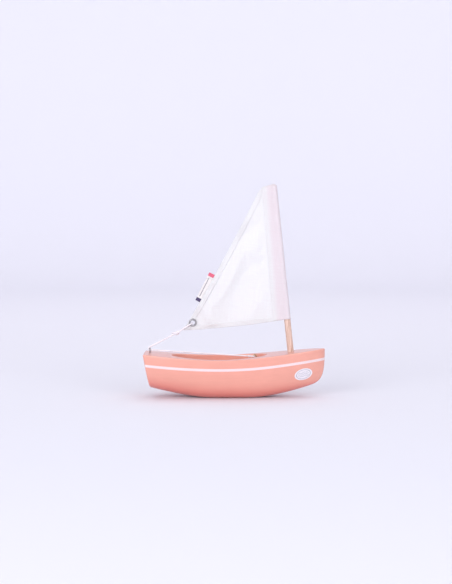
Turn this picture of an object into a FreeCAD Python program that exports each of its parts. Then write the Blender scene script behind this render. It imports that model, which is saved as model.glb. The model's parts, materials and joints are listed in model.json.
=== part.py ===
import FreeCAD, Part
import math
import os

# Small wooden toy sailing boat: a solid beech hull with a scooped cockpit, a raked dowel mast,
# a one-piece cotton sail whose luff sleeve slips over the mast, and an elastic sheet cord that
# runs from the sail's clew round a stern eye and forward to a hook in the cockpit.
# Millimetres. +X is forward, +Y is port, +Z is up. The origin is on the resting flat, amidships.

# Driving dimensions of the hull
HULL_LENGTH = 171.5
HALF_BEAM = 28.3
RIM_HEIGHT = 52.0          # height of the hull form before the deck is cut
TRANSOM_X = -85.0
BOW_X = TRANSOM_X + HULL_LENGTH   # the stem
WIDEST_X = -10.0           # station of the greatest beam
STERN_X = -115.0           # where the uncut form would close behind the transom
BOW_FINENESS = (1.7, 0.6)     # exponents of the plan outline ahead of the widest station
STERN_FINENESS = (2.5, 0.5)     # the same behind it
STEM_TURN = (28.0, 0.26)        # exponents that turn the bottom line up into the stem
ROCKER_FORE = (12.0, 0.387, 18.2)   # where the bottom starts to rise, its final slope and its softness
ROCKER_AFT = (-18.0, 0.265, 8.6)
KEEL_MIDDLE_X = -3.0       # the lowest point of the form
KEEL_SINK = 0.4            # how far the form dips under the resting flat
FULLNESS_MID = 2.8         # exponent of the superellipse sections amidships
FULLNESS_END = 2.1         # the same at the two ends
DECK_CROWN = 0.7
SHEER_RADIUS = 0.9
TRANSOM_RADIUS = 2.0
TRANSOM_HEAD = (TRANSOM_X, 42.0)
TRANSOM_FOOT = (TRANSOM_X + 5.5, 11.0)   # the transom leans: its foot stands forward of its head
TRANSOM_BULGE = 0.5
DECK_LINE = ((-100, 43.1), (-55, 39.2), (-14, 37.3), (18, 38.75), (53.5, 42.2), (93, 46.2))

# Paint and sticker on the hull
PAINT_DEPTH = 0.3
STRIPE_WIDTH = 2.4
STRIPE_LINE = ((-100, 33.2), (-55, 29.6), (-14, 28.3), (18, 29.3), (45, 31.8), (70, 34.7), (100, 37.9))
STICKER_THICKNESS = 0.15
STICKER_CENTRE = (65.4, 22.9)
STICKER_HALF_LENGTH = 8.7
STICKER_HALF_HEIGHT = 5.4
STICKER_TILT = 15.0

# Cockpit
COCKPIT_CENTRE_X = -14.0
COCKPIT_HALF_LENGTH = 45.5
COCKPIT_HALF_WIDTH = 22.4
COCKPIT_FLOOR = 25.0
COCKPIT_FLOOR_RADIUS = 4.0
COCKPIT_RIM_RADIUS = 0.8

# Mast
MAST_RADIUS = 3.0
MAST_STEP = (53.9, 0.0, 43.0)   # where the mast's axis passes through the deck
MAST_RAKE = 6.1                 # degrees, leaning aft
SOCKET_DEPTH = 22.0
SOCKET_CLEARANCE = 0.06
MAST_END_GAP = 0.1
MAST_TOP = 156.4
MAST_CHAMFER = 0.6

# Sail, measured square to the mast: reach is aft of the axis and height is up from the deck.
FOOT_HEIGHT = 31.3
HEAD_HEIGHT = 159.6
HEAD_DROP = 1.5            # the head falls this much from the mast to the sleeve's seam
CLEW_REACH = 99.0
FOOT_ROUND = 1.3
LEECH_HEAD = (14.3, 154.0)
LEECH_HOLLOW = 1.4
SLEEVE_REACH_FOOT = 11.9
SLEEVE_REACH_HEAD = 9.1
SLEEVE_BORE_RADIUS = MAST_RADIUS + 0.08
SLEEVE_WALL = 0.35
SLEEVE_CAP = 2.8           # cloth sewn flat together above the mast's top
SEAM_WIDTH = 1.2
SAIL_THICKNESS = 0.8

# Clew eyelet
EYELET_REACH = 89.4
EYELET_HEIGHT = 37.5
EYELET_BORE_RADIUS = 2.0
EYELET_TUBE_RADIUS = 2.4
EYELET_FLANGE_RADIUS = 3.85
EYELET_FLANGE_THICKNESS = 0.45
EYELET_LIP_RADIUS = 2.9
EYELET_LIP_THICKNESS = 0.25
EYELET_EDGE_ROUND = 0.27
EYELET_HOLE_CLEARANCE = 0.05

# Folded ribbon tab, sewn to the port face of the leech
TAB_LENGTH = 29.4
TAB_OUTBOARD = 5.2
TAB_OVERLAP = 4.0
TAB_HEIGHT = 68.1
TAB_TURN = 1.6             # degrees, how much more upright than the leech it is sewn
TAB_THICKNESS = 0.6
TAB_GAP = 0.05

# Sheet cord and its metal fittings
CORD_RADIUS = 0.7
CORD_GAP = 0.06
STERN_EYE_X = -79.7
STERN_EYE_CENTRE_Z = 44.5
STERN_EYE_RADIUS = 1.8
WIRE_RADIUS = 0.6
SCREW_LENGTH = 9.0
SCREW_PITCH = 0.8
SCREW_CREST = 0.25
PLAIN_SHANK = 0.3          # share of the screw's length that has no thread
HOOK_X = 18.4
HOOK_TOP = 40.7
HOOK_BEND_RADIUS = 1.4
HOOK_TIP = 2.0
HOOK_LOOP_HEIGHT = 38.7
END_KNOT_RADIUS = 1.2
CLEW_LEGS_APART = 0.84     # between the middles of the two legs of the clew loop at its knot
CLEW_KNOT_REACH = 105.2
CLEW_KNOT_HEIGHT = 29.5
CLEW_KNOT_RADIUS = 1.9
CLEW_TURN_RADIUS = 2.2

# Sampling of the hull form, and how far the cutting shapes reach past it
FORM_COLUMNS = 20
FORM_ROWS = 20
CUBIC = 3
DECK_SAMPLES = 16
MARGIN = 10.0
OVERCUT = 1.0
PICK_SLACK = 1.0           # tolerance when an edge or a solid is picked by its place
BLOCK_LENGTH = 2 * (MARGIN - STERN_X)
BLOCK_WIDTH = 2 * HALF_BEAM + 2 * MARGIN
BLOCK_HEIGHT = RIM_HEIGHT - 2


def vec(x, y, z):
    return FreeCAD.Vector(x, y, z)


def smooth_line(points):
    """A curve through points in the side plane, given as (x, z)."""
    curve = Part.BSplineCurve()
    curve.interpolate([vec(x, 0, z) for x, z in points])
    return curve


DECK_CURVE = smooth_line(DECK_LINE)


def deck_height(x):
    """Height of the deck at its edge, at a place along the boat."""
    station = Part.makeLine(vec(x, 0, 0), vec(x, 0, RIM_HEIGHT))
    return DECK_CURVE.toShape().distToShape(station)[1][0][0].z


def end_position(x):
    """How far a station lies towards its own end of the form: 0 at the widest station, 1 at the end."""
    end = BOW_X if x > WIDEST_X else STERN_X
    return min(1.0, max(0.0, (x - WIDEST_X) / (end - WIDEST_X)))


def half_breadth(x):
    """Half the beam of the uncut form at its rim."""
    power, root = BOW_FINENESS if x > WIDEST_X else STERN_FINENESS
    return HALF_BEAM * (1 - end_position(x) ** power) ** root


def keel_height(x):
    """Height of the bottom on the centreline: flat amidships, rising to both ends, then up the stem."""
    start, slope, softness = ROCKER_FORE if x > KEEL_MIDDLE_X else ROCKER_AFT
    run = max(0.0, (x - start) * math.copysign(1, start - KEEL_MIDDLE_X))
    bottom = math.hypot(slope * run, softness) - softness - KEEL_SINK
    power, root = STEM_TURN
    return RIM_HEIGHT - (RIM_HEIGHT - bottom) * (1 - end_position(x) ** power) ** root


def ring_spread(level):
    """How far out a ring of the skin lies: 0 at the lowest point and 1 at the rim, closer near the rim."""
    angle = math.pi / 2 * level / FORM_ROWS
    cosine = math.cos(angle)
    sine = math.sin(angle)
    return sine / (cosine ** FULLNESS_MID + sine ** FULLNESS_MID) ** (1 / FULLNESS_MID)


def hull_height(x, y):
    """Height of the hull's outside over a place in plan: every cross-section is a superellipse."""
    fullness = FULLNESS_MID - (FULLNESS_MID - FULLNESS_END) * end_position(x) ** 2
    breadth = half_breadth(x)
    across = min(1.0, abs(y) / breadth) if breadth > 0 else 1.0
    depth = (1 - across ** fullness) ** (1 / fullness)
    return RIM_HEIGHT - (RIM_HEIGHT - keel_height(x)) * depth


def rim_quarter(end):
    """Places on the port rim from one end to the widest station, closer together near the end."""
    quarter = []
    for step in range(FORM_COLUMNS + 1):
        x = end + (WIDEST_X - end) * (step / FORM_COLUMNS) ** 2
        quarter.append((x, half_breadth(x)))
    return quarter


def rim_outline():
    """Places round the rim in plan, from the stern tip along starboard to the stem and back along port."""
    port = rim_quarter(BOW_X)[:-1] + rim_quarter(STERN_X)[::-1]
    starboard = [(x, -y) for x, y in reversed(port)]
    return starboard[:-1] + port[:-1]


def hull_skin():
    """The hull's outside, from the keel up past the deck, as one smooth surface closed round the ends."""
    rings = []
    for level in range(FORM_ROWS + 1):
        spread = ring_spread(level)
        ring = []
        for rim_x, rim_y in rim_outline():
            x = KEEL_MIDDLE_X + (rim_x - KEEL_MIDDLE_X) * spread
            y = rim_y * spread
            height = RIM_HEIGHT if level == FORM_ROWS else hull_height(x, y)
            ring.append(vec(x, y, height))
        rings.append(ring)
    poles = [list(strake) for strake in zip(*rings)]
    columns = len(poles)
    spans = FORM_ROWS + 1 - CUBIC
    surface = Part.BSplineSurface()
    surface.buildFromPolesMultsKnots(
        poles,
        [1] * (columns + 1), [CUBIC + 1] + [1] * (spans - 1) + [CUBIC + 1],
        list(range(columns + 1)), list(range(spans + 1)),
        True, False, CUBIC, CUBIC)
    return surface.toShape()


def hull_form():
    """The solid inside the skin, flat underneath where it rests and not yet cut to the deck."""
    corner = vec(-BLOCK_LENGTH / 2, -BLOCK_WIDTH / 2, 0)
    block = Part.makeBox(BLOCK_LENGTH, BLOCK_WIDTH, BLOCK_HEIGHT, corner)
    pieces = block.generalFuse([hull_skin()])[0].Solids
    outside = Part.Vertex(corner)
    return [piece for piece in pieces if piece.distToShape(outside)[0] > PICK_SLACK][0]


def thicken(form, amount):
    """The form grown sideways and endways by a small amount, for paint and sticker layers."""
    grow = FreeCAD.Matrix()
    grow.scale(1 + amount / BOW_X, 1 + amount / HALF_BEAM, 1)
    return form.transformGeometry(grow)


def side_prism(edges, half_width):
    """A prism across the boat from a closed outline in the side plane."""
    face = Part.Face(Part.Wire(edges))
    face.translate(vec(0, -half_width, 0))
    return face.extrude(vec(0, 2 * half_width, 0))


def above_deck():
    """Everything over the crowned deck, as a cutting tool."""
    after_end = DECK_LINE[0][0]
    forward_end = DECK_LINE[-1][0]
    rows = []
    for i in range(DECK_SAMPLES + 1):
        x = after_end + (forward_end - after_end) * i / DECK_SAMPLES
        edge_height = deck_height(x)
        row = []
        for j in range(-DECK_SAMPLES // 2, DECK_SAMPLES // 2 + 1):
            y = 2 * j / DECK_SAMPLES * (HALF_BEAM + MARGIN)
            crown = DECK_CROWN * (1 - (y / HALF_BEAM) ** 2)
            row.append(vec(x, y, edge_height + crown))
        rows.append(row)
    surface = Part.BSplineSurface()
    surface.interpolate(rows)
    return surface.toShape().extrude(vec(0, 0, RIM_HEIGHT))


def behind_transom():
    """Everything aft of the raked, slightly rounded transom, as a cutting tool."""
    head = vec(TRANSOM_HEAD[0], 0, TRANSOM_HEAD[1])
    foot = vec(TRANSOM_FOOT[0], 0, TRANSOM_FOOT[1])
    middle = (head + foot) / 2 - vec(TRANSOM_BULGE, 0, 0)
    lean = (foot - head) / 2
    arc = Part.Arc(head - lean, middle, foot + lean).toShape()
    over = arc.Vertexes[0].Point
    under = arc.Vertexes[-1].Point
    far_under = vec(STERN_X - MARGIN, 0, under.z)
    far_over = vec(STERN_X - MARGIN, 0, over.z)
    corners = [under, far_under, far_over, over]
    outline = [arc] + [Part.makeLine(a, b) for a, b in zip(corners, corners[1:])]
    return side_prism(outline, HALF_BEAM + MARGIN)


def cockpit():
    """The pocket in the deck: an oval well with a rounded floor."""
    ellipse = Part.Ellipse(vec(COCKPIT_CENTRE_X, 0, COCKPIT_FLOOR), COCKPIT_HALF_LENGTH, COCKPIT_HALF_WIDTH)
    face = Part.Face(Part.Wire(ellipse.toShape()))
    well = face.extrude(vec(0, 0, RIM_HEIGHT))
    floor_edges = [edge for edge in well.Edges if edge.BoundBox.ZMax < COCKPIT_FLOOR + PICK_SLACK]
    return well.makeFillet(COCKPIT_FLOOR_RADIUS, floor_edges)


def cockpit_rim(body):
    """The edges where the cockpit's wall meets the deck."""
    rim = []
    for edge in body.Edges:
        box = edge.BoundBox
        off_centre = abs((box.XMin + box.XMax) / 2 - COCKPIT_CENTRE_X)
        near_length = abs(box.XLength / 2 + off_centre - COCKPIT_HALF_LENGTH) < PICK_SLACK
        if near_length and box.ZMin > COCKPIT_FLOOR + COCKPIT_FLOOR_RADIUS + PICK_SLACK:
            rim.append(edge)
    return rim


def longest(edges, count):
    return sorted(edges, key=lambda edge: edge.Length)[-count:]


def rake(shape):
    """Move a shape built on an upright mast axis at the origin to the real, raked mast."""
    shape.rotate(vec(0, 0, 0), vec(0, 1, 0), -MAST_RAKE)
    shape.translate(vec(*MAST_STEP))
    return shape


def socket():
    """The blind hole for the mast, cut from above the deck."""
    radius = MAST_RADIUS + SOCKET_CLEARANCE
    return rake(Part.makeCylinder(radius, SOCKET_DEPTH + MARGIN, vec(0, 0, -SOCKET_DEPTH)))


def stripe_band(half_width):
    """A slab across the boat, as wide as the painted line is high."""
    lower = smooth_line([(x, z - STRIPE_WIDTH / 2) for x, z in STRIPE_LINE]).toShape()
    upper = smooth_line([(x, z + STRIPE_WIDTH / 2) for x, z in STRIPE_LINE]).toShape()
    ends = [Part.makeLine(lower.Vertexes[i].Point, upper.Vertexes[i].Point) for i in (0, -1)]
    return side_prism([lower, ends[1], upper, ends[0]], half_width)


def build_hull(form):
    """The carved beech hull, before the paint line is let in."""
    body = form.cut(above_deck()).cut(behind_transom())
    transom_edges = [edge for edge in body.Edges if edge.BoundBox.XMax < TRANSOM_X + MARGIN]
    body = body.makeFillet(TRANSOM_RADIUS, longest(transom_edges, 2))
    sheer = [edge for edge in body.Edges if edge.BoundBox.ZMin > COCKPIT_FLOOR + MARGIN]
    body = body.makeFillet(SHEER_RADIUS, sheer)
    body = body.cut(cockpit())
    body = body.makeFillet(COCKPIT_RIM_RADIUS, cockpit_rim(body))
    for hole in (socket(), eye_shank(), hook_shank()):
        body = body.cut(hole)
    return body


def paint_line(body, form):
    """The painted line as two thin layers flush with the hull's sides, port then starboard."""
    skin = body.common(stripe_band(HALF_BEAM + MARGIN)).cut(thicken(form, -PAINT_DEPTH))
    sides = []
    for side in (1, -1):
        half = Part.makeBox(2 * BLOCK_LENGTH, BLOCK_WIDTH, BLOCK_LENGTH,
                            vec(-BLOCK_LENGTH, 0 if side > 0 else -BLOCK_WIDTH, -BLOCK_LENGTH / 2))
        sides.append(skin.common(half))
    return sides


def sticker(form):
    """The oval sticker that follows the starboard bow."""
    ellipse = Part.Ellipse(vec(0, 0, 0), STICKER_HALF_LENGTH, STICKER_HALF_HEIGHT)
    oval = Part.Face(Part.Wire(ellipse.toShape()))
    oval.rotate(vec(0, 0, 0), vec(0, 0, 1), STICKER_TILT)
    oval.rotate(vec(0, 0, 0), vec(1, 0, 0), 90)
    oval.translate(vec(STICKER_CENTRE[0], 0, STICKER_CENTRE[1]))
    prism = oval.extrude(vec(0, -HALF_BEAM, 0))
    return prism.common(thicken(form, STICKER_THICKNESS)).cut(form)


def ringed_screw(top, length):
    """A wire shank that points down from its top, with screw ridges along its lower part."""
    z = -length * PLAIN_SHANK
    points = [vec(0, 0, 0), vec(WIRE_RADIUS, 0, 0), vec(WIRE_RADIUS, 0, z)]
    while z > -length + 2 * SCREW_PITCH:
        points.append(vec(WIRE_RADIUS + SCREW_CREST, 0, z - SCREW_PITCH / 2))
        points.append(vec(WIRE_RADIUS, 0, z - SCREW_PITCH))
        z -= SCREW_PITCH
    points.append(vec(0, 0, -length))
    points.append(points[0])
    profile = Part.Face(Part.makePolygon(points))
    shank = profile.revolve(vec(0, 0, 0), vec(0, 0, 1), 360)
    shank.translate(top)
    return shank


def eye_shank():
    """The stern eye's screw, which also cuts its own hole in the deck."""
    top = vec(STERN_EYE_X, 0, STERN_EYE_CENTRE_Z - STERN_EYE_RADIUS)
    seat = deck_height(STERN_EYE_X) + DECK_CROWN
    return ringed_screw(top, SCREW_LENGTH + top.z - seat)


def stern_eye():
    """A small screw eye, its ring facing fore and aft."""
    centre = vec(STERN_EYE_X, 0, STERN_EYE_CENTRE_Z)
    ring = Part.makeTorus(STERN_EYE_RADIUS, WIRE_RADIUS, centre, vec(1, 0, 0))
    return ring.fuse(eye_shank()).removeSplitter()


def hook_shank_top():
    return vec(HOOK_X, 0, HOOK_TOP - WIRE_RADIUS - HOOK_BEND_RADIUS)


def hook_shank():
    """The hook's long screw, which also cuts its own hole in the cockpit floor."""
    top = hook_shank_top()
    return ringed_screw(top, SCREW_LENGTH + top.z - COCKPIT_FLOOR)


def sheet_hook():
    """A long screw hook that stands in the cockpit floor, its end bent forward and down."""
    top = hook_shank_top()
    crest = top + vec(HOOK_BEND_RADIUS, 0, HOOK_BEND_RADIUS)
    side = top + vec(2 * HOOK_BEND_RADIUS, 0, 0)
    bend = Part.Arc(top, crest, side).toShape()
    tip = Part.makeLine(side, side - vec(0, 0, HOOK_TIP))
    return rod_along([bend, tip], WIRE_RADIUS).fuse(hook_shank()).removeSplitter()


def rod_along(path_edges, radius):
    """A round rod along straight and circular edges that meet end to end."""
    pieces = []
    for edge in path_edges:
        start = edge.valueAt(edge.FirstParameter)
        disc = Part.Face(Part.Wire(Part.makeCircle(radius, start, edge.tangentAt(edge.FirstParameter))))
        if isinstance(edge.Curve, Part.Circle):
            sweep = math.degrees(edge.LastParameter - edge.FirstParameter)
            pieces.append(disc.revolve(edge.Curve.Center, edge.Curve.Axis, sweep))
        else:
            pieces.append(disc.extrude(edge.valueAt(edge.LastParameter) - start))
    return pieces[0].fuse(pieces[1:]).removeSplitter()


def eye_turn():
    """Centre and radius of the cord's turn round the top of the stern eye's ring."""
    centre = vec(STERN_EYE_X, 0, STERN_EYE_CENTRE_Z + STERN_EYE_RADIUS)
    return centre, WIRE_RADIUS + CORD_RADIUS + CORD_GAP


def clew_knot_place():
    """Middle of the clew knot, on the raked mast."""
    turn = FreeCAD.Rotation(vec(0, 1, 0), -MAST_RAKE)
    return turn.multVec(vec(-CLEW_KNOT_REACH, 0, CLEW_KNOT_HEIGHT)) + vec(*MAST_STEP)


def aft_way():
    """The way the cord runs from the stern eye to the clew."""
    centre = eye_turn()[0]
    return (clew_knot_place() - centre).normalize()


def aft_leg_start():
    """Where the cord leaves the top of the stern eye for the clew."""
    centre, radius = eye_turn()
    way = aft_way()
    return centre + vec(-way.z, 0, way.x) * radius


def sheet_fore_leg():
    """The cord from the hook, through the stern eye and round its top, with its end loop and knot."""
    centre, radius = eye_turn()
    start = vec(HOOK_X - WIRE_RADIUS - 2 * CORD_RADIUS - END_KNOT_RADIUS, 0, HOOK_LOOP_HEIGHT)
    under = centre - vec(0, 0, radius)
    back = centre - vec(radius, 0, 0)
    turn = Part.Arc(under, back, aft_leg_start()).toShape()
    run = rod_along([Part.makeLine(start, under), turn], CORD_RADIUS)
    knot = Part.makeSphere(END_KNOT_RADIUS, start)
    loop_radius = WIRE_RADIUS + CORD_RADIUS + CORD_GAP
    loop = Part.makeTorus(loop_radius, CORD_RADIUS, vec(HOOK_X, 0, HOOK_LOOP_HEIGHT), vec(0, 0, 1))
    return run.fuse([knot, loop])


def sheet_aft_leg():
    """The stretching cord between the stern eye and the clew knot."""
    way = aft_way()
    start = aft_leg_start() + way * CORD_GAP
    finish = clew_knot_place() - way * (CLEW_KNOT_RADIUS + CORD_GAP)
    return Part.makeCylinder(CORD_RADIUS, (finish - start).Length, start, finish - start)


def sheet_clew_loop():
    """The loop of cord through the clew eyelet, and the knot that closes it, on an upright mast."""
    eyelet = vec(-EYELET_REACH, 0, EYELET_HEIGHT)
    knot = vec(-CLEW_KNOT_REACH, 0, CLEW_KNOT_HEIGHT)
    way = (knot - eyelet).normalize()
    across = vec(0, CLEW_TURN_RADIUS, 0)
    rim_middle = (EYELET_BORE_RADIUS + EYELET_FLANGE_RADIUS) / 2
    centre = eyelet + way * rim_middle
    apex = centre - way * CLEW_TURN_RADIUS
    ends = [knot + vec(0, side * CLEW_LEGS_APART / 2, 0) for side in (1, -1)]
    port_leg = Part.makeLine(ends[0], centre + across)
    turn = Part.Arc(centre + across, apex, centre - across).toShape()
    starboard_leg = Part.makeLine(centre - across, ends[1])
    loop = rod_along([port_leg, turn, starboard_leg], CORD_RADIUS)
    return loop.fuse(Part.makeSphere(CLEW_KNOT_RADIUS, knot))


def mast():
    """A straight dowel with both ends eased."""
    foot = -SOCKET_DEPTH + MAST_END_GAP
    rod = Part.makeCylinder(MAST_RADIUS, MAST_TOP - foot, vec(0, 0, foot))
    ends = [edge for edge in rod.Edges if edge.Closed]
    return rod.makeChamfer(MAST_CHAMFER, ends)


def teardrop(radius, reach, half_tail, height):
    """A closed outline round the mast: an arc in front and two straight sides to a narrow tail."""
    tail_distance = math.hypot(reach, half_tail)
    angle = math.atan2(half_tail, reach) + math.acos(radius / tail_distance)
    touch = vec(-radius * math.cos(angle), radius * math.sin(angle), height)
    mirror = vec(touch.x, -touch.y, height)
    tail = vec(-reach, half_tail, height)
    tail_mirror = vec(-reach, -half_tail, height)
    front = Part.Arc(touch, vec(radius, 0, height), mirror).toShape()
    return Part.Wire([front, Part.makeLine(mirror, tail_mirror), Part.makeLine(tail_mirror, tail),
                      Part.makeLine(tail, touch)])


def sleeve():
    """The luff sleeve and the space in it for the mast, open at the foot and sewn shut at the head."""
    half = SAIL_THICKNESS / 2
    outer_radius = SLEEVE_BORE_RADIUS + SLEEVE_WALL
    outer = Part.makeLoft([teardrop(outer_radius, SLEEVE_REACH_FOOT, half, FOOT_HEIGHT),
                           teardrop(outer_radius, SLEEVE_REACH_HEAD, half, HEAD_HEIGHT)], True, True)
    tail = half - SLEEVE_WALL
    inner_foot = teardrop(SLEEVE_BORE_RADIUS, SLEEVE_REACH_FOOT - SEAM_WIDTH, tail, FOOT_HEIGHT - OVERCUT)
    inner_head = teardrop(SLEEVE_BORE_RADIUS, SLEEVE_REACH_HEAD - SEAM_WIDTH, tail, HEAD_HEIGHT - SLEEVE_CAP)
    inner = Part.makeLoft([inner_foot, inner_head], True, True)
    return outer, inner


def above_head():
    """Everything over the sloping top of the sleeve, as a cutting tool."""
    forward = 2 * SLEEVE_BORE_RADIUS
    aft = SLEEVE_REACH_HEAD
    over = HEAD_HEIGHT + OVERCUT
    corners = [vec(forward, 0, HEAD_HEIGHT), vec(0, 0, HEAD_HEIGHT), vec(-aft, 0, HEAD_HEIGHT - HEAD_DROP),
               vec(-aft - OVERCUT, 0, over), vec(forward, 0, over), vec(forward, 0, HEAD_HEIGHT)]
    return side_prism([Part.makeLine(a, b) for a, b in zip(corners, corners[1:])], 2 * SLEEVE_BORE_RADIUS)


def leech_slope():
    """How far the leech moves forward for each millimetre up."""
    return (CLEW_REACH - LEECH_HEAD[0]) / (LEECH_HEAD[1] - FOOT_HEIGHT)


def leech_inward():
    """The way square to the leech's chord, into the sail."""
    return vec(1, 0, -leech_slope()).normalize()


def sail_panel():
    """The flat of the sail from the sleeve's seam to the leech, with a rounded foot."""
    inside_sleeve = SLEEVE_REACH_HEAD - SEAM_WIDTH
    tack = vec(-inside_sleeve, 0, FOOT_HEIGHT)
    clew = vec(-CLEW_REACH, 0, FOOT_HEIGHT)
    foot_middle = (tack + clew) / 2 - vec(0, 0, FOOT_ROUND)
    leech_head = vec(-LEECH_HEAD[0], 0, LEECH_HEAD[1])
    sleeve_head = vec(-SLEEVE_REACH_HEAD, 0, HEAD_HEIGHT - HEAD_DROP)
    inner_head = vec(-inside_sleeve, 0, HEAD_HEIGHT - HEAD_DROP)
    leech_middle = (clew + leech_head) / 2 + leech_inward() * LEECH_HOLLOW
    outline = [Part.Arc(tack, foot_middle, clew).toShape(), Part.Arc(clew, leech_middle, leech_head).toShape()]
    corners = [leech_head, sleeve_head, inner_head, tack]
    outline += [Part.makeLine(a, b) for a, b in zip(corners, corners[1:])]
    return side_prism(outline, SAIL_THICKNESS / 2)


def sail():
    """The one-piece cloth: a panel, the sleeve that slips over the mast, and the hole for the eyelet."""
    outer, inner = sleeve()
    cloth = outer.cut(above_head()).fuse(sail_panel()).cut(inner)
    hole = across_disc(EYELET_TUBE_RADIUS + EYELET_HOLE_CLEARANCE, -SAIL_THICKNESS, SAIL_THICKNESS)
    return cloth.cut(hole)


def across_disc(radius, low_y, high_y):
    """A disc square to the sail, centred on the clew eyelet."""
    return Part.makeCylinder(radius, high_y - low_y, vec(-EYELET_REACH, low_y, EYELET_HEIGHT), vec(0, 1, 0))


def eyelet_barrel():
    """The eyelet's tube with its flange on the starboard side and its rolled lip on the port side."""
    half = SAIL_THICKNESS / 2
    washer_face = half + EYELET_FLANGE_THICKNESS
    flange = across_disc(EYELET_FLANGE_RADIUS, -washer_face, -half)
    outer_rim = [edge for edge in flange.Edges if edge.Closed and edge.BoundBox.YMax < -half]
    flange = flange.makeFillet(EYELET_EDGE_ROUND, outer_rim)
    tube = across_disc(EYELET_TUBE_RADIUS, -half, washer_face)
    lip = across_disc(EYELET_LIP_RADIUS, washer_face, washer_face + EYELET_LIP_THICKNESS)
    bore = across_disc(EYELET_BORE_RADIUS, -2 * EYELET_FLANGE_RADIUS, 2 * EYELET_FLANGE_RADIUS)
    return flange.fuse([tube, lip]).cut(bore)


def eyelet_washer():
    """The ring under the eyelet's rolled lip, on the port side."""
    half = SAIL_THICKNESS / 2
    disc = across_disc(EYELET_FLANGE_RADIUS, half, half + EYELET_FLANGE_THICKNESS)
    return disc.cut(across_disc(EYELET_TUBE_RADIUS, -EYELET_FLANGE_RADIUS, EYELET_FLANGE_RADIUS))


def leech_tab():
    """The ribbon, folded double, whose inner edge is sewn to the sail behind the leech."""
    share = (TAB_HEIGHT - FOOT_HEIGHT) / (LEECH_HEAD[1] - FOOT_HEIGHT)
    chord = vec(-CLEW_REACH + leech_slope() * (TAB_HEIGHT - FOOT_HEIGHT), 0, TAB_HEIGHT)
    middle = chord + leech_inward() * LEECH_HOLLOW * 4 * share * (1 - share)
    corner = vec(-TAB_OUTBOARD, SAIL_THICKNESS / 2 + TAB_GAP, -TAB_LENGTH / 2)
    tab = Part.makeBox(TAB_OUTBOARD + TAB_OVERLAP, TAB_THICKNESS, TAB_LENGTH, corner)
    tab.rotate(vec(0, 0, 0), vec(0, 1, 0), math.degrees(math.atan(leech_slope())) - TAB_TURN)
    tab.translate(middle)
    return tab


def main():
    form = hull_form()
    body = build_hull(form)
    stripe_port, stripe_starboard = paint_line(body, form)
    pieces = {
        "hull": body.cut(stripe_port.fuse(stripe_starboard)),
        "stripe_port": stripe_port,
        "stripe_starboard": stripe_starboard,
        "bow_sticker": sticker(form),
        "stern_eye": stern_eye(),
        "sheet_hook": sheet_hook(),
        "sheet_fore_leg": sheet_fore_leg(),
        "sheet_aft_leg": sheet_aft_leg(),
        "sheet_clew_loop": rake(sheet_clew_loop()),
        "mast": rake(mast()),
        "sail": rake(sail()),
        "eyelet_barrel": rake(eyelet_barrel()),
        "eyelet_washer": rake(eyelet_washer()),
        "leech_tab": rake(leech_tab()),
    }
    os.makedirs("parts", exist_ok=True)
    for name, shape in pieces.items():
        shape.exportStep("parts/" + name + ".step")
        print(name, "valid", shape.isValid(), "solids", len(shape.Solids), "volume", round(shape.Volume, 1))


main()
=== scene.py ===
import json
import math
import random

import bmesh
import bpy
import numpy as np
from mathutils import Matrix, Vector


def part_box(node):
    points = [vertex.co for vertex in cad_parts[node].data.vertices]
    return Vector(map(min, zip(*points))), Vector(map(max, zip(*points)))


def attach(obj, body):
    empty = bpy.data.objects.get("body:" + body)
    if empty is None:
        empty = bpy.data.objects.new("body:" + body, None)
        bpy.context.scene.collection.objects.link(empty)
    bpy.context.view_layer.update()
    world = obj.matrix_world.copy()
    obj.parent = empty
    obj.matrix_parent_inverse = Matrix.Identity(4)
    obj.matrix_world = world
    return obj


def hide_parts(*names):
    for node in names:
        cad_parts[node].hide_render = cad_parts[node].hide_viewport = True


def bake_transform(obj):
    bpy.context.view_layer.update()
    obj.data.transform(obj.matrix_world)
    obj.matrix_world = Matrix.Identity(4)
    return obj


# Looks for a small wooden toy sailing boat. Metres. +X is the bow, +Y is port, +Z is up.
# The hull, mast and metal fittings are the CAD solids with their own materials. The cotton sail, the ribbon
# tab and the sheet cord are built here as cloth, thread and cord around the same axis and outline.

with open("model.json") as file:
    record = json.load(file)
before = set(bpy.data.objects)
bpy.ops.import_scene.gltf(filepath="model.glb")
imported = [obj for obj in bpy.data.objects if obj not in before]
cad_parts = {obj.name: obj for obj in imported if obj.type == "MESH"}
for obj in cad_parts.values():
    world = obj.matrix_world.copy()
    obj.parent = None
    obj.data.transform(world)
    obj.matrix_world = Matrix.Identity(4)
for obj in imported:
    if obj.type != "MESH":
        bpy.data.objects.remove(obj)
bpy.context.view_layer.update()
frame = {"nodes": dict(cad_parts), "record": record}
nodes = frame["nodes"]
SWING = next(joint for joint in frame["record"]["behaviour"]["joints"] if joint["name"] == "sail_swing")

MM = 0.001

# The mast's axis, from the joint that the sail swings on
STEP = Vector(SWING["pos_m"])
UP = Vector(SWING["axis"]).normalized()
FORE = Vector((1, 0, 0))
PORT = Vector((0, 1, 0))
HIGH = Vector((0, 0, 1))
AFT = UP.cross(PORT)
RAKE = math.atan2(-UP.x, UP.z)


def at(reach, height, out=0.0):
    """A place on the rig: reach aft of the mast's axis, height up it from the deck, out to port."""
    return STEP + AFT * reach + UP * height + PORT * out


def rig_range(node, way):
    """How far a CAD node reaches along a direction of the rig, lowest and highest."""
    reaches = [(vertex.co - STEP).dot(way) for vertex in nodes[node].data.vertices]
    return min(reaches), max(reaches)


def eyelet_place():
    """Reach and height of the clew eyelet's middle."""
    low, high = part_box("eyelet_washer")
    middle = (Vector(low) + Vector(high)) / 2 - STEP
    return middle.dot(AFT), middle.dot(UP)


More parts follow.
